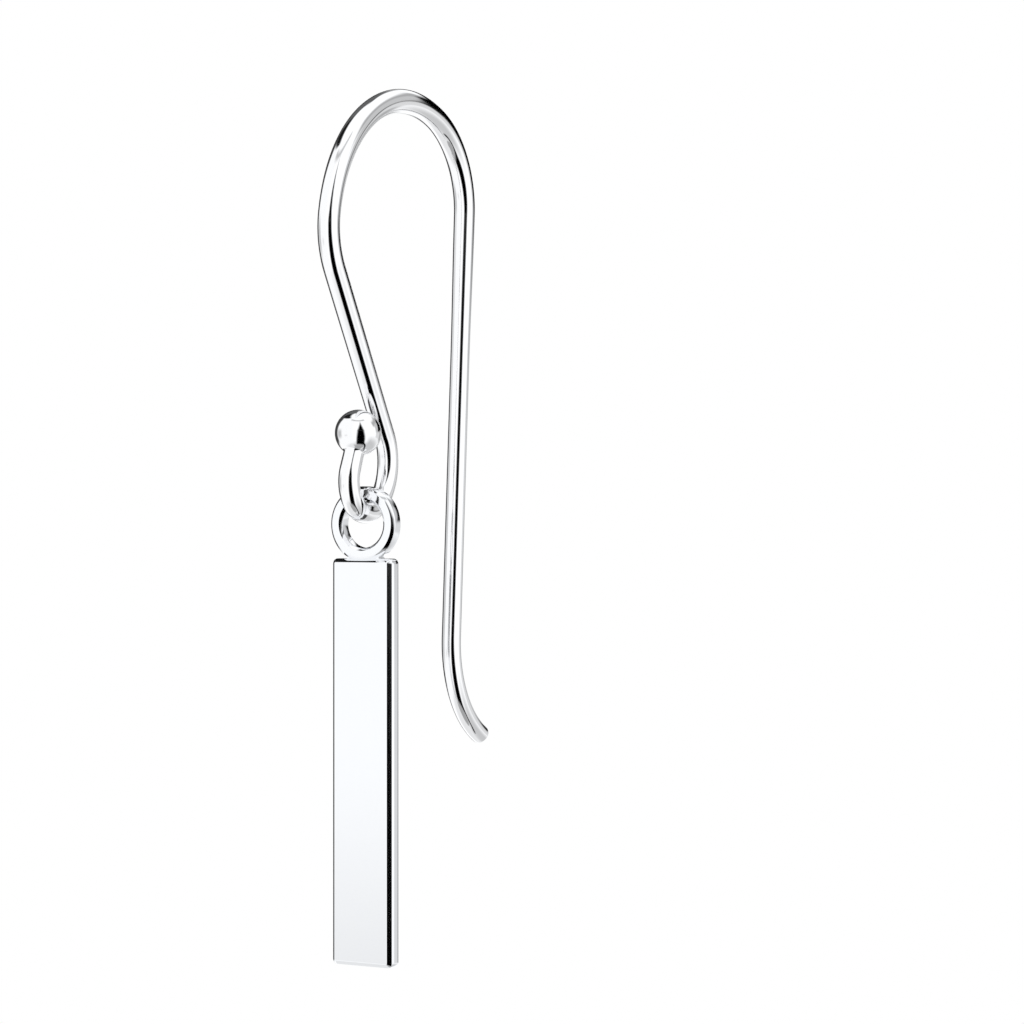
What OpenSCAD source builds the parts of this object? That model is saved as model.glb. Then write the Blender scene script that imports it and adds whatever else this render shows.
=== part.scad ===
// Drop earring: a plain rectangular bar that hangs by its soldered ring from the loop of a hook ear wire.
// The origin is on the underside of the arch, where the ear wire rests in a pierced lobe.
// +Z is up, the bar's broad face looks along -Y, and the ear wire's tail is on the +Y side.
// The whole ear wire lies in the plane x = 0, and all sizes are millimetres.

/* [Ear wire route] */
// Width of the arch, from the centre of the wire at the front bow to its centre at the tail
arch_w = 9.7; // [8.5:0.05:11]
// Length of the straight stem between the front bow and the loop
stem_len = 6.76; // [5.5:0.02:8.5]
// Length of the straight tail behind the lobe
tail_len = 16.3; // [12:0.1:20]
// Bend radius of the kick at the tail's end
kick_r = 4.1; // [3:0.1:6]
// Turn of the kick at the tail's end, in degrees
kick_turn = 66; // [40:1:80]
// Width of the loop that carries the drop, from wire centre to wire centre
loop_w = 2.65; // [2.45:0.05:3]
// Straight wire that shows between the loop and the ball
neck_len = 0.62; // [0.4:0.02:1]

/* [Ear wire thickness] */
// Diameter of the wire on top of the arch
arch_wire_d = 0.91; // [0.8:0.01:1]
// Diameter of the wire down the front bow and behind the lobe
bow_wire_d = 0.81; // [0.7:0.01:0.95]
// Diameter of the wire along the tail
tail_wire_d = 0.74; // [0.65:0.01:0.9]
// Diameter of the wire at the back of the loop
heel_wire_d = 0.78; // [0.7:0.01:0.85]
// Diameter of the wire at the loop's lowest point, where the drop hangs
seat_wire_d = 0.8; // [0.7:0.01:0.88]
// Diameter of the wire where it enters the ball
neck_wire_d = 0.76; // [0.65:0.01:0.82]
// Radius of the rounding round the rim of the cut tail end
tip_round_r = 0.06; // [0.05:0.01:0.2]

/* [Ball] */
// Diameter of the ball on the front end of the wire
ball_d = 1.7; // [1.4:0.02:1.84]
// Radius of the solder fillet between the wire and the ball
ball_fillet_r = 0.1; // [0.05:0.01:0.2]

/* [Ring] */
// Outer diameter of the ring on top of the bar
ring_od = 2.76; // [2.6:0.02:2.9]
// Width of the ring's metal, from its outer to its inner wall
ring_wall = 0.51; // [0.45:0.01:0.55]
// Thickness of the ring, from its front to its back face
ring_t = 0.62; // [0.5:0.01:0.75]
// Radius of the rounding along the ring's four edges
ring_edge_r = 0.13; // [0.1:0.01:0.22]
// Gap between the ring's inner wall and the wire that carries it
ring_gap = 0.05; // [0.03:0.01:0.08]

/* [Bar] */
// Width of the bar's broad face
bar_w = 2.55; // [2.2:0.05:4]
// Thickness of the bar, from its front to its back face
bar_t = 0.74; // [0.7:0.01:1.2]
// Length of the bar
bar_l = 14.9; // [10:0.1:25]
// Radius of the broad face's four corners
bar_corner_r = 0.25; // [0.12:0.01:0.4]
// Radius of the rounding along the bar's edges
bar_edge_r = 0.12; // [0.08:0.01:0.25]

/* [Solder] */
// Depth that the ring is let into the bar's top
ring_sink = 0.12; // [0.07:0.005:0.2]
// Radius of the solder fillet on each side of the ring
seam_r = 0.05; // [0.03:0.01:0.08]
// Thickness of the solder seam, from front to back
seam_t = 0.4; // [0.2:0.01:0.48]

/* [Hidden] */
$fn = 64;

// Columns of the route tables: bend radius, turn in degrees (positive turns left, seen from +X with +Y to
// the right), length where the row is straight, and the wire's diameter at the row's end.
BEND_R = 0;
TURN = 1;
RUN = 2;
END_D = 3;

// Columns of a pose on the route: place, heading in degrees (0 is +Y, 90 is +Z) and the wire's diameter.
AT_Y = 0;
AT_Z = 1;
HEADING = 2;
WIRE_D = 3;

// Bend radii as shares of the arch's width, and of the loop's width.
crown_r = 0.56 * arch_w;
front_r = 0.58 * arch_w;
bow_r = 0.31 * arch_w;
shoulder_r = 0.367 * arch_w;
heel_r = 0.76 * loop_w;
toe_r = 0.43 * loop_w;

// Turns down the front of the arch. The loop's back turns the wire level again at its lowest point.
crown_turn = 31;
front_turn = 49;
bow_turn = 40;
heel_turn = 88;
seat_turn = crown_turn + front_turn + bow_turn - heel_turn;
toe_turn = 112;

// Turns over the back of the arch.
back_crown_turn = 21;
shoulder_turn = 72.5;

// From the top of the arch, down the front and round the loop to the ball's centre.
front_route = [
    [crown_r, crown_turn, 0, (arch_wire_d + bow_wire_d) / 2],
    [front_r, front_turn, 0, bow_wire_d],
    [bow_r, bow_turn, 0, bow_wire_d],
    [0, 0, stem_len, heel_wire_d],
    [heel_r, -heel_turn, 0, heel_wire_d],
    [toe_r, -seat_turn, 0, seat_wire_d],
    [toe_r, -toe_turn, 0, heel_wire_d],
    [0, 0, neck_len, neck_wire_d],
];
// The row of the front route that starts where the drop hangs.
seat_row = 6;

// From the top of the arch, over the back and down the tail. The wire thins along the taper to the tail's own
// thickness, and the kick turns the last of it away from the neck.
taper_len = 0.35 * tail_len;
back_route = [
    [crown_r, -back_crown_turn, 0, (arch_wire_d + bow_wire_d) / 2],
    [shoulder_r, -shoulder_turn, 0, bow_wire_d],
    [0, 0, taper_len, tail_wire_d],
    [0, 0, tail_len - taper_len, tail_wire_d],
    [kick_r, kick_turn, 0, tail_wire_d],
];

// How finely the wire is made: sides round it, degrees of bend and length of straight wire between two rings.
wire_sides = 16;
bend_step = 6;
run_step = 3;

// The wire's two poses on top of the arch: one leads to the front and one to the back.
front_start = [0, arch_wire_d / 2, 180, arch_wire_d];
back_start = [0, arch_wire_d / 2, 0, arch_wire_d];

// An even start and end to each change of thickness.
function ease(share) = share * share * (3 - 2 * share);

// The pose a share of the way along one row of a route that starts at the given pose.
function pose_along(start, row, share) =
    let (
        heading = start[HEADING] + share * row[TURN],
        wire_d = start[WIRE_D] + ease(share) * (row[END_D] - start[WIRE_D]),
        r = sign(row[TURN]) * row[BEND_R]
    )
    [
        start[AT_Y] + share * row[RUN] * cos(heading) + r * (sin(heading) - sin(start[HEADING])),
        start[AT_Z] + share * row[RUN] * sin(heading) - r * (cos(heading) - cos(start[HEADING])),
        heading,
        wire_d
    ];

// The pose at the start of each row, and at the end of the last one.
function row_starts(start, rows, i = 0) =
    i == len(rows) ? [start] : concat([start], row_starts(pose_along(start, rows[i], 1), rows, i + 1));

// How many rings of points a row gets.
function ring_count(row) = ceil(abs(row[TURN]) / bend_step) + ceil(row[RUN] / run_step);

// Every pose along a route, after its start.
function route_poses(start, rows) =
    let (starts = row_starts(start, rows))
    [for (i = [0 : len(rows) - 1]) let (n = ring_count(rows[i]))
        for (k = [1 : n]) pose_along(starts[i], rows[i], k / n)];

// The pose moved on by a length in its own direction, with another wire diameter.
function moved_on(pose, length, wire_d) = [
    pose[AT_Y] + length * cos(pose[HEADING]),
    pose[AT_Z] + length * sin(pose[HEADING]),
    pose[HEADING],
    wire_d
];

// The same list from its other end, and the same pose seen from the other way along the wire.
function reversed(list) = [for (i = [len(list) - 1 : -1 : 0]) list[i]];
function turned_back(pose) = [pose[AT_Y], pose[AT_Z], pose[HEADING] - 180, pose[WIRE_D]];

front_end = row_starts(front_start, front_route)[len(front_route)];
back_end = row_starts(back_start, back_route)[len(back_route)];

// The ball and the fillet at its neck, as rings about the wire's own line: along it from the neck, and radius.
ball_r = ball_d / 2;
neck_r = neck_wire_d / 2;
fillet_out = neck_r + ball_fillet_r;
fillet_to_ball = sqrt(pow(ball_r + ball_fillet_r, 2) - pow(fillet_out, 2));
fillet_turn = atan2(fillet_to_ball, fillet_out);
fillet_steps = 4;
ball_steps = 11;
ball_poses = concat(
    [for (k = [1 : fillet_steps]) let (a = fillet_turn * k / fillet_steps)
        moved_on(front_end, ball_fillet_r * sin(a), 2 * (fillet_out - ball_fillet_r * cos(a)))],
    [for (k = [1 : ball_steps - 1]) let (a = 90 - fillet_turn + (90 + fillet_turn) * k / ball_steps)
        moved_on(front_end, fillet_to_ball - ball_r * cos(a), 2 * ball_r * sin(a))]
);
ball_pole = moved_on(front_end, fillet_to_ball + ball_r, 0);

// The rounded rim of the cut tail end.
tip_steps = 3;
tip_poses = [for (k = [1 : tip_steps]) let (a = 90 * k / tip_steps)
    moved_on(back_end, tip_round_r * sin(a), tail_wire_d - 2 * tip_round_r * (1 - cos(a)))];

// Every ring of the ear wire, from the ball to the tail's end.
hook_poses = concat(
    [for (pose = reversed(concat([front_start], route_poses(front_start, front_route), ball_poses)))
        turned_back(pose)],
    route_poses(back_start, back_route),
    tip_poses
);

// The wire's centre where the drop hangs, and the ring's centre below it.
seat = row_starts(front_start, front_route)[seat_row];
ring_r = ring_od / 2;
ring_bore_r = ring_r - ring_wall;
ring_z = seat[AT_Z] + seat_wire_d / 2 + ring_gap - ring_bore_r;
bar_top_z = ring_z - ring_r + ring_sink;

// The seam's fillets bite a little into the ring and the bar, so that no faces only graze each other.
seam_bite = 0.01;
seam_x = sqrt(pow(ring_r + seam_r - seam_bite, 2) - pow(ring_r - ring_sink - seam_r + seam_bite, 2));

// The points of one ring round the wire.
function ring_points(pose) = [for (j = [0 : wire_sides - 1])
    let (a = 360 * j / wire_sides, out = pose[WIRE_D] / 2 * sin(a))
    [pose[WIRE_D] / 2 * cos(a), pose[AT_Y] - out * sin(pose[HEADING]), pose[AT_Z] + out * cos(pose[HEADING])]];

// A closed tube through rings of points. The first ring closes to the pole, the last one to a flat end.
module swept_wire(poses, pole) {
    n = wire_sides;
    last = (len(poses) - 1) * n;
    pole_i = len(poses) * n;
    points = concat([for (pose = poses) each ring_points(pose)], [[0, pole[AT_Y], pole[AT_Z]]]);
    walls = [for (i = [0 : len(poses) - 2]) for (j = [0 : n - 1]) let (k = (j + 1) % n)
        [i * n + j, (i + 1) * n + j, (i + 1) * n + k, i * n + k]];
    pole_fan = [for (j = [0 : n - 1]) [pole_i, j, (j + 1) % n]];
    flat_end = [[for (j = [n - 1 : -1 : 0]) last + j]];
    polyhedron(points = points, faces = concat(walls, pole_fan, flat_end));
}

// A rectangle with its corners rounded, about its own centre.
module rounded_rectangle(w, h, r) {
    square([w - 2 * r, h], center = true);
    square([w, h - 2 * r], center = true);
    for (x = [-1, 1], y = [-1, 1]) translate([x * (w / 2 - r), y * (h / 2 - r)]) circle(r);
}

// The bar, with its broad face's corners and all its edges rounded.
module bar() {
    translate([0, seat[AT_Y], bar_top_z - bar_l / 2]) intersection() {
        rotate([90, 0, 0]) linear_extrude(bar_t, center = true) rounded_rectangle(bar_w, bar_l, bar_corner_r);
        rotate([90, 0, 90]) linear_extrude(bar_w, center = true) rounded_rectangle(bar_t, bar_l, bar_edge_r);
        linear_extrude(bar_l, center = true) rounded_rectangle(bar_w, bar_t, bar_edge_r);
    }
}

// The ring that the loop of the ear wire passes through.
module hanging_ring() {
    translate([0, seat[AT_Y], ring_z]) rotate([90, 0, 0]) rotate_extrude()
        translate([ring_r - ring_wall / 2, 0]) rounded_rectangle(ring_wall, ring_t, ring_edge_r);
}

// The solder that fills the two narrow corners between the ring and the bar's top.
module solder_seam() {
    translate([0, seat[AT_Y], bar_top_z]) rotate([90, 0, 0]) linear_extrude(seam_t, center = true)
        difference() {
            polygon([
                [-seam_x, -seam_r],
                [seam_x, -seam_r],
                [seam_x, 0],
                [0, ring_wall / 2],
                [-seam_x, 0]
            ]);
            for (x = [-seam_x, seam_x]) translate([x, seam_r - seam_bite]) circle(seam_r);
        }
}

// The ear wire and the ball on its front end: one piece of metal.
module ear_hook() {
    color("silver") swept_wire(hook_poses, ball_pole);
}

// The drop: the bar with its ring soldered on, one piece of metal.
module bar_drop() {
    color("silver") union() {
        bar();
        hanging_ring();
        solder_seam();
    }
}

ear_hook();
bar_drop();
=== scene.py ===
"""A bar drop earring in polished silver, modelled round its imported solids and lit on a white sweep."""

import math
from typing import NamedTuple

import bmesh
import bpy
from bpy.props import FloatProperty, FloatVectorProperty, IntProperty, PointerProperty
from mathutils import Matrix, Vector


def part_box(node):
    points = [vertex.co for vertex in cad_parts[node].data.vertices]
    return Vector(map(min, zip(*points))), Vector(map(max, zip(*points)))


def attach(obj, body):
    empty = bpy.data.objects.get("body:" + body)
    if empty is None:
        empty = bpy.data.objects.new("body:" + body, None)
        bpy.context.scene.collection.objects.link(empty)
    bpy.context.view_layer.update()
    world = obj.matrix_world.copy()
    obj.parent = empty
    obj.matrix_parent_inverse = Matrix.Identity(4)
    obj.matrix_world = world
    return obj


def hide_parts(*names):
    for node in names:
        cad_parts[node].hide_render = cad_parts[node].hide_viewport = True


bl_info = {
    "name": "Bar Drop Earring",
    "version": (1, 0, 0),
    "blender": (4, 5, 0),
    "location": "3D View > Sidebar > Earring",
    "description": "Makes the ear wire, the ring and the bar of a drop earring, with their studio",
    "category": "Add Mesh",
}

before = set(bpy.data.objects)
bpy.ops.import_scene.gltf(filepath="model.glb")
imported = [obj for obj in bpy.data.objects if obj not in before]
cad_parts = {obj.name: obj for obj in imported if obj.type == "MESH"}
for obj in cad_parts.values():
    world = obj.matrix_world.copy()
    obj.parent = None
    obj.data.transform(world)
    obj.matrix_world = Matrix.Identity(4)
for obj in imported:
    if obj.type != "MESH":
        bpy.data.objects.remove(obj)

MM = 0.001

# How far the solder's fillets reach into the ring and the bar, so that no faces only graze each other.
SEAM_BITE = 0.01 * MM

# Points closer than this many metres are joined into one, on a piece of the earring and on the sweep.
PIECE_WELD = 1e-8
SWEEP_WELD = 1e-6

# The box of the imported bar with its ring, which the new drop stands for.
DROP_LOW, DROP_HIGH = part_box("bar_drop")

# Where faces of the bar meet at more than this, a facet ends, and its border is softened.
BORDER_TURN = math.radians(25)

# Where faces of the finished drop meet at more than this, the edge between them is shaded crisp.
CRISP_TURN = math.radians(38)


def linear(hex_colour):
    """The linear red, green and blue of an sRGB hex colour."""
    channels = [int(hex_colour[i:i + 2], 16) / 255 for i in (1, 3, 5)]
    return tuple(c / 12.92 if c <= 0.04045 else ((c + 0.055) / 1.055) ** 2.4 for c in channels)


def length(name, default, description):
    """A length in metres that the panel shows in the scene's own unit."""
    return FloatProperty(
        name=name, description=description, default=default, min=0.0, precision=5, unit="LENGTH",
        subtype="DISTANCE",
    )


def turn(name, degrees, description):
    """An angle that the panel shows in degrees."""
    return FloatProperty(
        name=name, description=description, default=math.radians(degrees), unit="ROTATION", subtype="ANGLE"
    )


class EarWireSettings(bpy.types.PropertyGroup):
    """The route of the ear wire and its thickness along the way."""

    arch_w: length("Arch Width", 9.7 * MM, "Width of the arch between wire centres")
    stem_len: length("Stem Length", 6.76 * MM, "Straight stem between the front bow and the loop")
    tail_len: length("Tail Length", 16.3 * MM, "Straight tail behind the lobe")
    kick_r: length("Kick Radius", 4.1 * MM, "Bend radius of the kick at the tail's end")
    kick_turn: turn("Kick Turn", 66, "Turn of the kick at the tail's end")
    loop_w: length("Loop Width", 2.65 * MM, "Width of the loop that carries the drop, between wire centres")
    neck_len: length("Neck Length", 0.62 * MM, "Straight wire between the loop and the ball")
    arch_wire_d: length("Arch Wire", 0.91 * MM, "Diameter of the wire on top of the arch")
    bow_wire_d: length("Bow Wire", 0.81 * MM, "Diameter of the wire down the front bow and behind the lobe")
    tail_wire_d: length("Tail Wire", 0.74 * MM, "Diameter of the wire along the tail")
    heel_wire_d: length("Loop Wire", 0.78 * MM, "Diameter of the wire at the back and front of the loop")
    seat_wire_d: length("Seat Wire", 0.8 * MM, "Diameter of the wire where the drop hangs")
    neck_wire_d: length("Neck Wire", 0.76 * MM, "Diameter of the wire where it enters the ball")
    tip_round_r: length("Tip Rounding", 0.06 * MM, "Rounding round the rim of the cut tail end")
    ball_d: length("Ball", 1.7 * MM, "Diameter of the ball on the front end of the wire")
    ball_fillet_r: length(
        "Ball Solder", 0.1 * MM, "Radius of the solder fillet between the wire and the ball"
    )
    sides: IntProperty(name="Sides", description="Sides round the wire", default=96, min=12, max=160)


class DropSettings(bpy.types.PropertyGroup):
    """The bar and the ring that is soldered on its top."""

    bar_w: length("Bar Width", 2.55 * MM, "Width of the bar's broad face")
    bar_t: length(
        "Bar Thickness", DROP_HIGH.y - DROP_LOW.y, "Thickness of the bar, taken from the packed solid"
    )
    corner_r: length("Corner Rounding", 0.2 * MM, "Rounding of the broad face's four corners")
    facet: length("Edge Facet", 0.15 * MM, "How far the filed facet along each edge reaches into either face")
    facet_round: length(
        "Facet Rounding", 0.02 * MM, "Softening that polishing leaves on either side of a facet"
    )
    side_crown: length("Side Crown", 0.03 * MM, "How far the bar's narrow sides bulge in their middle")
    ring_od: length(
        "Ring", DROP_HIGH.x - DROP_LOW.x, "Outer diameter of the ring, taken from the packed solid"
    )
    ring_wall: length("Ring Wall", 0.51 * MM, "Width of the ring's metal between its outer and inner wall")
    ring_t: length("Ring Thickness", 0.62 * MM, "Thickness of the ring from front to back")
    ring_facet: length("Ring Facet", 0.12 * MM, "How far the facet along each of the ring's edges reaches in")
    ring_sink: length("Ring Let In", 0.12 * MM, "Depth that the ring is let into the bar's top")
    seam_r: length("Solder Radius", 0.05 * MM, "Radius of the solder fillet on each side of the ring")
    seam_t: length("Solder Thickness", 0.4 * MM, "Thickness of the solder seam from front to back")


class FinishSettings(bpy.types.PropertyGroup):
    """The colours of the metal and of the sweep."""

    wire_silver: FloatVectorProperty(
        name="Wire Silver", description="Colour of the polished wire and ball", subtype="COLOR",
        default=linear("#F5F5F6"), min=0.0, max=1.0,
    )
    bar_silver: FloatVectorProperty(
        name="Bar Silver", description="Colour of the polished bar and ring", subtype="COLOR",
        default=linear("#F4F5F7"), min=0.0, max=1.0,
    )
    sweep_white: FloatVectorProperty(
        name="Sweep White", description="Colour of the paper sweep", subtype="COLOR",
        default=linear("#FFFFFF"), min=0.0, max=1.0,
    )


class StageSettings(bpy.types.PropertyGroup):
    """The camera, the sweep and the tent of light."""

    lens_px: FloatProperty(
        name="Focal Length", description="Focal length in pixels of the frame", default=2900
    )
    frame_px: FloatProperty(name="Frame Width", description="Width of the frame in pixels", default=1024)
    camera_turn: turn(
        "Camera Turn", 29.118, "How far the camera has gone round to the right of the bar's face"
    )
    camera_x: length("Camera Right", 56.344 * MM, "How far the camera stands to the right")
    camera_y: length("Camera Distance", 93.131 * MM, "How far the camera stands in front")
    camera_drop: length("Camera Drop", 14.915 * MM, "How far the camera stands below the arch")
    floor_drop: length("Floor Drop", 6.0 * MM, "Room between the bar's end and the floor")
    sweep_r: length("Sweep Radius", 500 * MM, "Radius of the floor before it curves up into the wall")
    sweep_bend: length("Sweep Bend", 120 * MM, "Radius of the curve between floor and wall")
    sweep_h: length("Sweep Height", 500 * MM, "Height of the wall")


def add_node(tree, kind, inputs=None, **settings):
    """Adds a node with its settings. Each input is a plain value, or the output that is linked to it."""
    node = tree.nodes.new(kind)
    for key, value in settings.items():
        setattr(node, key, value)
    for key, value in (inputs or {}).items():
        if isinstance(value, bpy.types.NodeSocket):
            tree.links.new(value, node.inputs[key])
        else:
            node.inputs[key].default_value = value
    return node


def finished_piece(name, bm, material):
    """Turns the bmesh into a closed object at the origin, with its faces outward and smooth."""
    bmesh.ops.remove_doubles(bm, verts=bm.verts, dist=PIECE_WELD)
    bmesh.ops.recalc_face_normals(bm, faces=bm.faces)
    open_edges = [e for e in bm.edges if not e.is_manifold]
    if open_edges:
        raise RuntimeError(f"{name} isn't closed: {len(open_edges)} open edges")
    for face in bm.faces:
        face.smooth = True
    mesh = bpy.data.meshes.new(name)
    bm.to_mesh(mesh)
    bm.free()
    mesh.materials.append(material)
    piece = bpy.data.objects.new(name, mesh)
    bpy.context.scene.collection.objects.link(piece)
    return piece


class Pose(NamedTuple):
    """A place on the wire's route, its heading (0 is +Y, a quarter turn is +Z) and the wire's diameter."""

    y: float
    z: float
    heading: float
    wire_d: float


class Row(NamedTuple):
    """A stretch of the route: bend radius, turn to the left, straight run, and the diameter at its end."""

    bend_r: float
    turn: float
    run: float
    end_d: float


def centre(pose):
    """The wire's centre at a pose."""
    return Vector((0.0, pose.y, pose.z))


def forward(pose):
    """The wire's own direction at a pose."""
    return Vector((0.0, math.cos(pose.heading), math.sin(pose.heading)))


def next_ring(bm, edges):
    """Extrudes an open rim of the wire and gives the new rim's edges and vertices."""
    grown = bmesh.ops.extrude_edge_only(bm, edges=edges)["geom"]
    verts = [g for g in grown if isinstance(g, bmesh.types.BMVert)]
    fresh = set(verts)
    rim = [g for g in grown if isinstance(g, bmesh.types.BMEdge) and set(g.verts) <= fresh]
    return rim, verts


def scale_ring(bm, verts, middle, factor):
    """Scales a rim about the wire's centre."""
    bmesh.ops.scale(bm, vec=(factor, factor, factor), space=Matrix.Translation(-middle), verts=verts)


def draw_row(bm, edges, pose, row, bend_step=math.radians(1.5), run_steps=14):
    """Draws the wire along one row and gives the rim and the pose at its end."""
    bent = row.turn != 0
    steps = math.ceil(abs(row.turn) / bend_step) if bent else run_steps
    side = math.copysign(row.bend_r, row.turn)
    pivot = centre(pose) + side * Vector((0.0, -math.sin(pose.heading), math.cos(pose.heading)))
    start_d = pose.wire_d
    for k in range(1, steps + 1):
        edges, verts = next_ring(bm, edges)
        share = k / steps
        # The change of diameter starts and ends softly, so that no kink shows where two rows meet.
        wire_d = start_d + share * share * (3 - 2 * share) * (row.end_d - start_d)
        if bent:
            spin = Matrix.Rotation(row.turn / steps, 3, "X")
            bmesh.ops.rotate(bm, cent=pivot, matrix=spin, verts=verts)
            place = pivot + spin @ (centre(pose) - pivot)
        else:
            step = forward(pose) * (row.run / steps)
            bmesh.ops.translate(bm, vec=step, verts=verts)
            place = centre(pose) + step
        scale_ring(bm, verts, place, wire_d / pose.wire_d)
        pose = Pose(place.y, place.z, pose.heading + row.turn / steps, wire_d)
    return edges, pose


def draw_profile(bm, edges, pose, profile):
    """Draws rings of revolution: each (distance along the wire's line from the pose, diameter)."""
    start = centre(pose)
    done = 0.0
    wire_d = pose.wire_d
    for along, ring_d in profile:
        edges, verts = next_ring(bm, edges)
        bmesh.ops.translate(bm, vec=forward(pose) * (along - done), verts=verts)
        scale_ring(bm, verts, start + forward(pose) * along, ring_d / wire_d)
        done = along
        wire_d = ring_d
    return edges


# The bend radii on the arch, as shares of its width: on its top, down its front, into the stem and down
# its back.
CROWN_SHARE = 0.56
FRONT_SHARE = 0.58
BOW_SHARE = 0.31
SHOULDER_SHARE = 0.367

# The bend radii on the loop, as shares of its width: at its back, and on either side of its lowest point.
HEEL_SHARE = 0.76
SEAT_SHARE = 0.43

# The share of the straight tail over which the wire thins.
TAPER_SHARE = 0.35


def front_rows(s):
    """The rows from the top of the arch, down the front and round the loop to the ball."""
    # How far each bend turns, in degrees. The turn after the heel brings the wire level at the loop's
    # lowest point, where the drop hangs.
    crown, front, bow, heel, toe = (math.radians(a) for a in (31, 49, 40, 88, 112))
    return [
        Row(CROWN_SHARE * s.arch_w, crown, 0, (s.arch_wire_d + s.bow_wire_d) / 2),
        Row(FRONT_SHARE * s.arch_w, front, 0, s.bow_wire_d),
        Row(BOW_SHARE * s.arch_w, bow, 0, s.bow_wire_d),
        Row(0, 0, s.stem_len, s.heel_wire_d),
        Row(HEEL_SHARE * s.loop_w, -heel, 0, s.heel_wire_d),
        Row(SEAT_SHARE * s.loop_w, heel - crown - front - bow, 0, s.seat_wire_d),
        Row(SEAT_SHARE * s.loop_w, -toe, 0, s.heel_wire_d),
        Row(0, 0, s.neck_len, s.neck_wire_d),
    ]


def back_rows(s):
    """The rows from the top of the arch, over the back and down the tail to its kick."""
    taper = TAPER_SHARE * s.tail_len
    # How far each bend turns, in degrees.
    crown, shoulder = (math.radians(a) for a in (21, 72.5))
    return [
        Row(CROWN_SHARE * s.arch_w, -crown, 0, (s.arch_wire_d + s.bow_wire_d) / 2),
        Row(SHOULDER_SHARE * s.arch_w, -shoulder, 0, s.bow_wire_d),
        Row(0, 0, taper, s.tail_wire_d),
        Row(0, 0, s.tail_len - taper, s.tail_wire_d),
        Row(s.kick_r, s.kick_turn, 0, s.tail_wire_d),
    ]


def ball_profile(s, fillet_steps=8, ball_steps=44):
    """The solder fillet and the ball as rings, and how far the ball's pole lies from the neck."""
    neck_r = s.neck_wire_d / 2
    ball_r = s.ball_d / 2
    out = neck_r + s.ball_fillet_r
    reach = math.sqrt((ball_r + s.ball_fillet_r) ** 2 - out ** 2)
    fillet_turn = math.atan2(reach, out)
    rings = []
    for k in range(1, fillet_steps + 1):
        a = fillet_turn * k / fillet_steps
        rings.append((s.ball_fillet_r * math.sin(a), 2 * (out - s.ball_fillet_r * math.cos(a))))
    for k in range(1, ball_steps):
        a = math.pi / 2 - fillet_turn + (math.pi / 2 + fillet_turn) * k / ball_steps
        rings.append((reach - ball_r * math.cos(a), 2 * ball_r * math.sin(a)))
    return rings, reach + ball_r


def tip_profile(s, steps=6):
    """The rounded rim of the cut tail end as rings."""
    angles = [math.pi / 2 * k / steps for k in range(1, steps + 1)]
    return [
        (s.tip_round_r * math.sin(a), s.tail_wire_d - 2 * s.tip_round_r * (1 - math.cos(a)))
        for a in angles
    ]


# The buffing wheel's marks: how far apart the soft waves lie, how deep they are, and how deep a hairline is.
WAVE_MM = 1.6
WAVE_DEPTH_MM = 0.0006
LINE_DEPTH_MM = 0.00006

# The hairlines run along this axis (2 is Z). Scaling its coordinate down draws their noise out along it.
LINE_AXIS = 2
LINE_SCALE = 0.06


def polished_silver(name, colour, line_mm, line_axis):
    """Polished sterling silver: a bright, neutral mirror that a buffing wheel has left with hair-fine lines
    and a slight wave, so that reflected edges stay crisp but never look drawn with a ruler."""
    material = bpy.data.materials.new(name)
    material.use_nodes = True
    tree = material.node_tree
    tree.nodes.clear()
    where = add_node(tree, "ShaderNodeTexCoord").outputs["Object"]
    stretch = [1.0, 1.0, 1.0]
    stretch[line_axis] = LINE_SCALE
    along = add_node(tree, "ShaderNodeMapping", {"Vector": where, "Scale": stretch})
    hairlines = add_node(
        tree, "ShaderNodeTexNoise",
        {"Vector": along.outputs["Vector"], "Scale": 1 / (line_mm * MM), "Detail": 3.0, "Roughness": 0.55},
    ).outputs["Fac"]
    wave = add_node(
        tree, "ShaderNodeTexNoise", {"Vector": where, "Scale": 1 / (WAVE_MM * MM), "Detail": 1.0}
    ).outputs["Fac"]
    # The buffed metal is a little duller where the wheel has left more lines.
    roughness = add_node(
        tree, "ShaderNodeMapRange",
        {"Value": hairlines, "From Min": 0.3, "From Max": 0.75, "To Min": 0.05, "To Max": 0.1},
    )
    soft_wave = add_node(
        tree, "ShaderNodeBump", {"Height": wave, "Strength": 1.0, "Distance": WAVE_DEPTH_MM * MM}
    )
    fine_lines = add_node(
        tree, "ShaderNodeBump",
        {
            "Height": hairlines, "Strength": 1.0, "Distance": LINE_DEPTH_MM * MM,
            "Normal": soft_wave.outputs["Normal"],
        },
    )
    shader = add_node(
        tree, "ShaderNodeBsdfPrincipled",
        {
            "Base Color": (*colour, 1.0), "Metallic": 1.0, "Roughness": roughness.outputs["Result"],
            "Normal": fine_lines.outputs["Normal"],
        },
    )
    add_node(tree, "ShaderNodeOutputMaterial", {"Surface": shader.outputs["BSDF"]})
    return material


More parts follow.
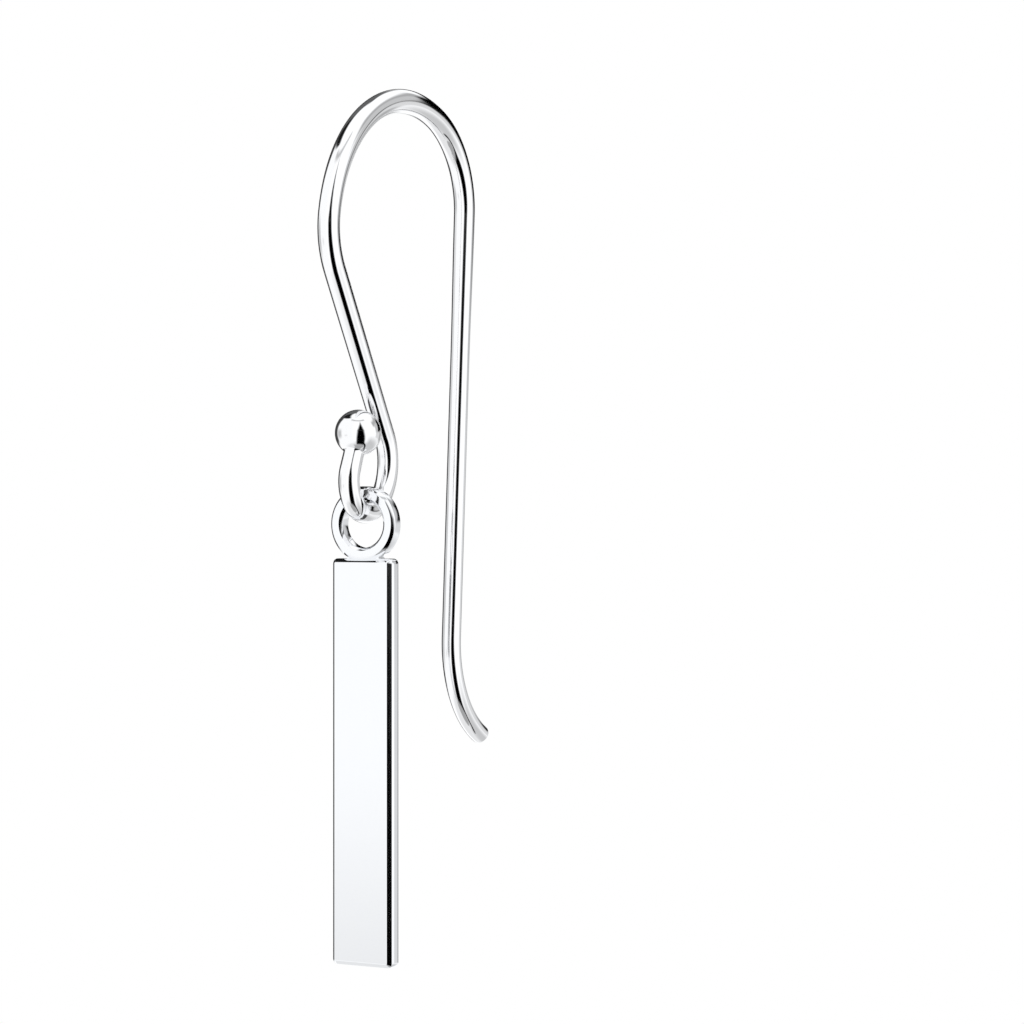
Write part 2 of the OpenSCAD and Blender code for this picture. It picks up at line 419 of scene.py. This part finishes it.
class EARRING_OT_ear_wire(bpy.types.Operator):
    """Draw the ear wire with its arch, loop, ball and tail"""

    bl_idname = "earring.ear_wire"
    bl_label = "Ear Wire"

    def execute(self, context):
        s = context.scene.ear_wire
        bm = bmesh.new()
        upright = Matrix.Translation((0, 0, s.arch_wire_d / 2)) @ Matrix.Rotation(math.pi / 2, 4, "X")
        bmesh.ops.create_circle(
            bm, cap_ends=False, radius=s.arch_wire_d / 2, segments=s.sides, matrix=upright
        )
        top_rim = list(bm.edges)
        rim, pose = top_rim, Pose(0, s.arch_wire_d / 2, math.pi, s.arch_wire_d)
        for row in front_rows(s):
            rim, pose = draw_row(bm, rim, pose, row)
        rings, pole = ball_profile(s)
        rim = draw_profile(bm, rim, pose, rings)
        rim, verts = next_ring(bm, rim)
        bmesh.ops.pointmerge(bm, verts=verts, merge_co=centre(pose) + forward(pose) * pole)
        rim, pose = top_rim, Pose(0, s.arch_wire_d / 2, 0.0, s.arch_wire_d)
        for row in back_rows(s):
            rim, pose = draw_row(bm, rim, pose, row)
        rim = draw_profile(bm, rim, pose, tip_profile(s))
        bmesh.ops.edgeloop_fill(bm, edges=rim)
        silver = polished_silver(
            "polished_sterling_wire", context.scene.finish.wire_silver, line_mm=0.05, line_axis=LINE_AXIS
        )
        wire = finished_piece("silver_ear_wire", bm, silver)
        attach(wire, "hook")
        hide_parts("ear_hook")
        return {"FINISHED"}


def bar_shell(s, y, low, high):
    """The bar: a block with rounded corners, filed facets along its edges, and softened facet borders."""
    bm = bmesh.new()
    size = Matrix.Diagonal((s.bar_w, s.bar_t, high - low, 1))
    bmesh.ops.create_cube(bm, size=1, matrix=Matrix.Translation((0, y, (low + high) / 2)) @ size)
    across = [e for e in bm.edges if abs((e.verts[0].co - e.verts[1].co).y) > s.bar_t / 2]
    bmesh.ops.bevel(
        bm, geom=across, offset=s.corner_r, affect="EDGES", offset_type="OFFSET", segments=10, profile=0.5,
        material=-1,
    )
    bm.normal_update()
    # A rim lies between a broad face, which looks along Y, and the wall round the bar.
    rims = [e for e in bm.edges if sum(abs(f.normal.y) > 0.9 for f in e.link_faces) == 1]
    bmesh.ops.bevel(
        bm, geom=rims, offset=s.facet, affect="EDGES", offset_type="OFFSET", segments=1, profile=0.5,
        material=-1,
    )
    crown_sides(bm, s, y)
    bm.normal_update()
    borders = [e for e in bm.edges if e.calc_face_angle() > BORDER_TURN]
    bmesh.ops.bevel(
        bm, geom=borders, offset=s.facet_round, affect="EDGES", offset_type="OFFSET", segments=4,
        profile=0.5, material=-1,
    )
    return bm


def crown_sides(bm, s, y, cuts=15):
    """Bulges the bar's two long narrow sides, as polishing leaves them, fading out round the corners."""
    half = s.bar_t / 2 - s.facet
    corner_x = s.bar_w / 2 - s.corner_r
    across = [e for e in bm.edges if abs((e.verts[0].co - e.verts[1].co).y) > half]
    # The rows where the corners meet the bar's ends are left out, because the bulge has faded to nothing.
    on_side = [e for e in across if abs(e.verts[0].co.x) > corner_x + s.facet_round / 2]
    fresh = bmesh.ops.subdivide_edges(bm, edges=on_side, cuts=cuts, use_grid_fill=True)["geom_inner"]
    for v in {g for g in fresh if isinstance(g, bmesh.types.BMVert)}:
        share = 1 - ((v.co.y - y) / half) ** 2
        fade = (abs(v.co.x) - corner_x) / s.corner_r
        v.co.x += math.copysign(s.side_crown * share * fade, v.co.x)


def ring_shell(s, y, middle_z):
    """The ring: a rectangular section with filed facets and softened borders, spun all the way round."""
    bm = bmesh.new()
    offset = Matrix.Translation((s.ring_od / 2 - s.ring_wall / 2, y, middle_z))
    size = Matrix.Diagonal((s.ring_wall, s.ring_t, 1, 1))
    bmesh.ops.create_grid(bm, x_segments=1, y_segments=1, size=0.5, matrix=offset @ size)
    for reach, segments in ((s.ring_facet, 1), (s.facet_round, 4)):
        bmesh.ops.bevel(
            bm, geom=list(bm.verts), offset=reach, affect="VERTICES", offset_type="OFFSET",
            segments=segments, profile=0.5, material=-1,
        )
    bmesh.ops.delete(bm, geom=list(bm.faces), context="FACES_ONLY")
    bmesh.ops.spin(
        bm, geom=list(bm.verts) + list(bm.edges), cent=(0, y, middle_z), axis=(0, 1, 0), angle=2 * math.pi,
        steps=180, use_merge=True, use_duplicate=False,
    )
    return bm


def seam_shell(s, y, middle_z, top_z, side):
    """The solder in the narrow corner between the ring and the bar's top, on one side."""
    bm = bmesh.new()
    rise = middle_z - top_z - s.seam_r + SEAM_BITE
    reach = math.sqrt((s.ring_od / 2 + s.seam_r - SEAM_BITE) ** 2 - rise ** 2)
    front_y = y - s.seam_t / 2
    low = bm.verts.new((side * reach, front_y, top_z - SEAM_BITE))
    bmesh.ops.spin(
        bm, geom=[low], cent=(side * reach, front_y, middle_z - rise), axis=(0, 1, 0),
        angle=side * (math.pi - math.atan2(reach, rise)), steps=10, use_merge=False, use_duplicate=False,
    )
    inward = bmesh.ops.extrude_edge_only(bm, edges=list(bm.edges))["geom"]
    verts = [g for g in inward if isinstance(g, bmesh.types.BMVert)]
    bmesh.ops.pointmerge(bm, verts=verts, merge_co=(0, front_y, top_z - s.seam_r))
    back = bmesh.ops.extrude_face_region(bm, geom=list(bm.faces))["geom"]
    verts = [g for g in back if isinstance(g, bmesh.types.BMVert)]
    bmesh.ops.translate(bm, vec=(0, s.seam_t, 0), verts=verts)
    return bm


def union(name, shells):
    """One closed mesh from several overlapping shells."""
    objects = []
    for i, bm in enumerate(shells):
        bmesh.ops.recalc_face_normals(bm, faces=bm.faces)
        mesh = bpy.data.meshes.new(f"{name}_{i}")
        bm.to_mesh(mesh)
        bm.free()
        shell = bpy.data.objects.new(mesh.name, mesh)
        bpy.context.scene.collection.objects.link(shell)
        objects.append(shell)
    first = objects[0]
    for other in objects[1:]:
        join = first.modifiers.new("union", "BOOLEAN")
        join.operation = "UNION"
        join.solver = "EXACT"
        join.object = other
    bpy.context.view_layer.update()
    solid = first.evaluated_get(bpy.context.evaluated_depsgraph_get())
    bm = bmesh.new()
    bm.from_mesh(solid.to_mesh())
    solid.to_mesh_clear()
    for shell in objects:
        old = shell.data
        bpy.data.objects.remove(shell)
        bpy.data.meshes.remove(old)
    return bm


class EARRING_OT_bar_drop(bpy.types.Operator):
    """Make the bar and solder its ring on top"""

    bl_idname = "earring.bar_drop"
    bl_label = "Bar Drop"

    def execute(self, context):
        s = context.scene.drop
        y = (DROP_LOW.y + DROP_HIGH.y) / 2
        middle_z = DROP_HIGH.z - s.ring_od / 2
        top_z = middle_z - s.ring_od / 2 + s.ring_sink
        shells = [bar_shell(s, y, DROP_LOW.z, top_z), ring_shell(s, y, middle_z)]
        shells += [seam_shell(s, y, middle_z, top_z, side) for side in (-1, 1)]
        bm = union("drop", shells)
        silver = polished_silver(
            "polished_sterling_bar", context.scene.finish.bar_silver, line_mm=0.06, line_axis=LINE_AXIS
        )
        drop = finished_piece("silver_bar_drop", bm, silver)
        drop.data.set_sharp_from_angle(angle=CRISP_TURN)
        even = drop.modifiers.new("even_shading", "WEIGHTED_NORMAL")
        even.mode = "FACE_AREA"
        even.keep_sharp = True
        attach(drop, "drop")
        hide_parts("bar_drop")
        return {"FINISHED"}


class Card(NamedTuple):
    """A panel of the light tent as seen from the earring, in degrees: how far its middle lies to the right
    of the lens, how that leans with height, its half width and how that tapers with height, its lower and
    upper edge, the softness of its edges, and how bright it is."""

    middle: float
    lean: float
    half: float
    taper: float
    low: float
    high: float
    soft: float
    level: float


# How bright the light tent is where no panel lies over it, and the faint blue tint of all its light.
TENT_WHITE = 1.15
TENT_TINT = (0.985, 0.993, 1.0, 1.0)

# The tent's panels in the order they are laid on: a later one hides what it lies over.
CARDS = {
    "table": Card(0, 0, 181, 0, -91, -45, 8, 0.87),
    "low right sheet": Card(105, 0, 45, 0, -75, -22, 18, 0.62),
    "under the lens": Card(10, 0, 50, 0, -88, -60, 8, 0.4),
    "left sheet": Card(-75, 0, 50, 0, -50, 60, 8, 1.09),
    "low edge of the left sheet": Card(-64, 0, 8, 0, -14, -7.5, 3, 0.9),
    "right side sheet": Card(122, 0, 22, 0, -14, 5, 3, 0.76),
    "grey behind right": Card(150, 0, 20, 0, -14, 3, 5, 0.45),
    "grey behind left": Card(-106, 0, 14, 0, -14, 10, 8, 0.6),
    "dark behind left": Card(-152, 0, 28, 0, -20, 40, 6, 0.06),
    "dark cap behind": Card(-180, 0.65, -26, 1.3, 34, 65, 5, 0.01),
    "grey cap behind": Card(-168, 0, 22, 0, 32, 62, 6, 0.13),
    "gap overhead": Card(-4, 0, 60, 0, 58, 64, 4, 0.5),
    "grey high right": Card(115, 0, 28, 0, 22, 40, 6, 0.45),
    "grey low right": Card(112, 0, 14, 0, 2, 28, 4, 0.6),
    "dark behind right": Card(148, 0.3, 36, -0.3, 4, 28, 3, 0.0),
    "lens gap": Card(13.3, -0.06, 18, -0.2, -60, 14, 6, 0.0),
    "foot of the lens gap": Card(-92, -2.6, 12, 0, -74, -44, 5, 0.0),
    "head of the lens gap": Card(13, 0, 20, -0.37, 8, 58, 6, 0.0),
}
MATH = "ShaderNodeMath"


def card_share(tree, card, azimuth, height):
    """How much of a card is seen along a direction: 1 on it, 0 beside it, and softly between at its edges."""
    middle = add_node(
        tree, MATH, {0: height, 1: card.lean, 2: card.middle}, operation="MULTIPLY_ADD"
    ).outputs[0]
    away = add_node(tree, MATH, {0: azimuth, 1: middle}, operation="SUBTRACT").outputs[0]
    away = add_node(tree, MATH, {0: away, 1: 180.0, 2: -180.0}, operation="WRAP").outputs[0]
    away = add_node(tree, MATH, {0: away}, operation="ABSOLUTE").outputs[0]
    half = add_node(tree, MATH, {0: height, 1: card.taper, 2: card.half}, operation="MULTIPLY_ADD").outputs[0]
    share = 1.0
    for outer, inner in ((half, away), (height, card.low), (card.high, height)):
        inside = add_node(tree, MATH, {0: outer, 1: inner}, operation="SUBTRACT").outputs[0]
        soft = add_node(
            tree, "ShaderNodeMapRange", {"Value": inside, "From Min": -card.soft, "From Max": card.soft},
            interpolation_type="SMOOTHSTEP",
        ).outputs["Result"]
        share = add_node(tree, MATH, {0: soft, 1: share}, operation="MULTIPLY").outputs[0]
    return share


def tent_light(view_turn):
    """A light tent of white panels with dark gaps between them, the narrow one in front being the lens's."""
    world = bpy.data.worlds.new("light_tent")
    world.use_nodes = True
    tree = world.node_tree
    tree.nodes.clear()
    ray = add_node(tree, "ShaderNodeTexCoord").outputs["Generated"]
    right = (math.cos(view_turn), math.sin(view_turn), 0)
    towards = (math.sin(view_turn), -math.cos(view_turn), 0)
    across, out, up = (
        add_node(tree, "ShaderNodeVectorMath", {0: ray, 1: axis}, operation="DOT_PRODUCT").outputs["Value"]
        for axis in (right, towards, (0, 0, 1))
    )
    azimuth = add_node(tree, MATH, {0: across, 1: out}, operation="ARCTAN2").outputs[0]
    azimuth = add_node(tree, MATH, {0: azimuth}, operation="DEGREES").outputs[0]
    height = add_node(tree, MATH, {0: up}, operation="ARCSINE").outputs[0]
    height = add_node(tree, MATH, {0: height}, operation="DEGREES").outputs[0]
    light = TENT_WHITE
    for card in CARDS.values():
        share = card_share(tree, card, azimuth, height)
        change = add_node(tree, MATH, {0: card.level, 1: light}, operation="SUBTRACT").outputs[0]
        light = add_node(tree, MATH, {0: share, 1: change, 2: light}, operation="MULTIPLY_ADD").outputs[0]
    background = add_node(tree, "ShaderNodeBackground", {"Color": TENT_TINT, "Strength": light})
    add_node(tree, "ShaderNodeOutputWorld", {"Surface": background.outputs["Background"]})
    return world


def white_paper(colour):
    """White paper lit to full brightness: it gives the eye a plain pale ground with no edge, fold or
    horizon."""
    material = bpy.data.materials.new("bright_paper_sweep")
    material.use_nodes = True
    tree = material.node_tree
    tree.nodes.clear()
    glow = add_node(tree, "ShaderNodeEmission", {"Color": (*colour, 1.0)})
    add_node(tree, "ShaderNodeOutputMaterial", {"Surface": glow.outputs["Emission"]})
    return material


def sweep_shell(s, floor_z):
    """A round floor that curves up into a wall all the way round."""
    bm = bmesh.new()
    middle = bm.verts.new((0, 0, floor_z))
    rim = bmesh.ops.extrude_vert_indiv(bm, verts=[middle])["verts"]
    bmesh.ops.translate(bm, vec=(s.sweep_r, 0, 0), verts=rim)
    curve = bmesh.ops.spin(
        bm, geom=rim, cent=(s.sweep_r, 0, floor_z + s.sweep_bend), axis=(0, 1, 0), angle=-math.pi / 2,
        steps=16, use_merge=False, use_duplicate=False,
    )
    foot = [g for g in curve["geom_last"] if isinstance(g, bmesh.types.BMVert)]
    top = bmesh.ops.extrude_vert_indiv(bm, verts=foot)["verts"]
    bmesh.ops.translate(bm, vec=(0, 0, s.sweep_h), verts=top)
    bmesh.ops.spin(
        bm, geom=list(bm.verts) + list(bm.edges), cent=(0, 0, 0), axis=(0, 0, 1), angle=2 * math.pi,
        steps=64, use_merge=True, use_duplicate=False,
    )
    bmesh.ops.remove_doubles(bm, verts=bm.verts, dist=SWEEP_WELD)
    for face in bm.faces:
        face.smooth = True
    return bm


class EARRING_OT_stage(bpy.types.Operator):
    """Set up the camera, the paper sweep and the light tent"""

    bl_idname = "earring.stage"
    bl_label = "Stage"

    def execute(self, context):
        scene = context.scene
        s = scene.stage
        camera = bpy.data.objects.new("camera", bpy.data.cameras.new("camera"))
        camera.data.sensor_width = 36
        camera.data.lens = camera.data.sensor_width * s.lens_px / s.frame_px
        camera.data.clip_start = 5 * MM
        camera.data.clip_end = 5
        camera.location = (s.camera_x, -s.camera_y, -s.camera_drop)
        camera.rotation_euler = (math.pi / 2, 0, s.camera_turn)
        scene.collection.objects.link(camera)
        scene.camera = camera
        bm = sweep_shell(s, DROP_LOW.z - s.floor_drop)
        mesh = bpy.data.meshes.new("paper_sweep")
        bm.to_mesh(mesh)
        bm.free()
        mesh.materials.append(white_paper(scene.finish.sweep_white))
        sweep = bpy.data.objects.new("paper_sweep", mesh)
        scene.collection.objects.link(sweep)
        sweep.visible_glossy = False
        to_lens = Vector((s.camera_x, -s.camera_y - (DROP_LOW.y + DROP_HIGH.y) / 2))
        scene.world = tent_light(math.atan2(to_lens.x, -to_lens.y))
        scene.view_settings.view_transform = "Standard"
        return {"FINISHED"}


class EARRING_PT_panel(bpy.types.Panel):
    """Lists what makes the earring and its studio"""

    bl_label = "Bar Drop Earring"
    bl_idname = "EARRING_PT_panel"
    bl_space_type = "VIEW_3D"
    bl_region_type = "UI"
    bl_category = "Earring"

    def draw(self, context):
        for settings, operator in (
            (context.scene.ear_wire, EARRING_OT_ear_wire),
            (context.scene.drop, EARRING_OT_bar_drop),
            (context.scene.stage, EARRING_OT_stage),
        ):
            box = self.layout.box()
            box.operator(operator.bl_idname)
            for key in settings.__annotations__:
                box.prop(settings, key)
        for key in context.scene.finish.__annotations__:
            self.layout.prop(context.scene.finish, key)


SETTINGS = {
    "ear_wire": EarWireSettings,
    "drop": DropSettings,
    "finish": FinishSettings,
    "stage": StageSettings,
}
CLASSES = (*SETTINGS.values(), EARRING_OT_ear_wire, EARRING_OT_bar_drop, EARRING_OT_stage, EARRING_PT_panel)


def register():
    for cls in CLASSES:
        bpy.utils.register_class(cls)
    for name, group in SETTINGS.items():
        setattr(bpy.types.Scene, name, PointerProperty(type=group))


def unregister():
    for name in SETTINGS:
        delattr(bpy.types.Scene, name)
    for cls in reversed(CLASSES):
        bpy.utils.unregister_class(cls)


def main():
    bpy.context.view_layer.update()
    register()
    bpy.ops.earring.stage()
    bpy.ops.earring.ear_wire()
    bpy.ops.earring.bar_drop()


if __name__ == "__main__":
    main()
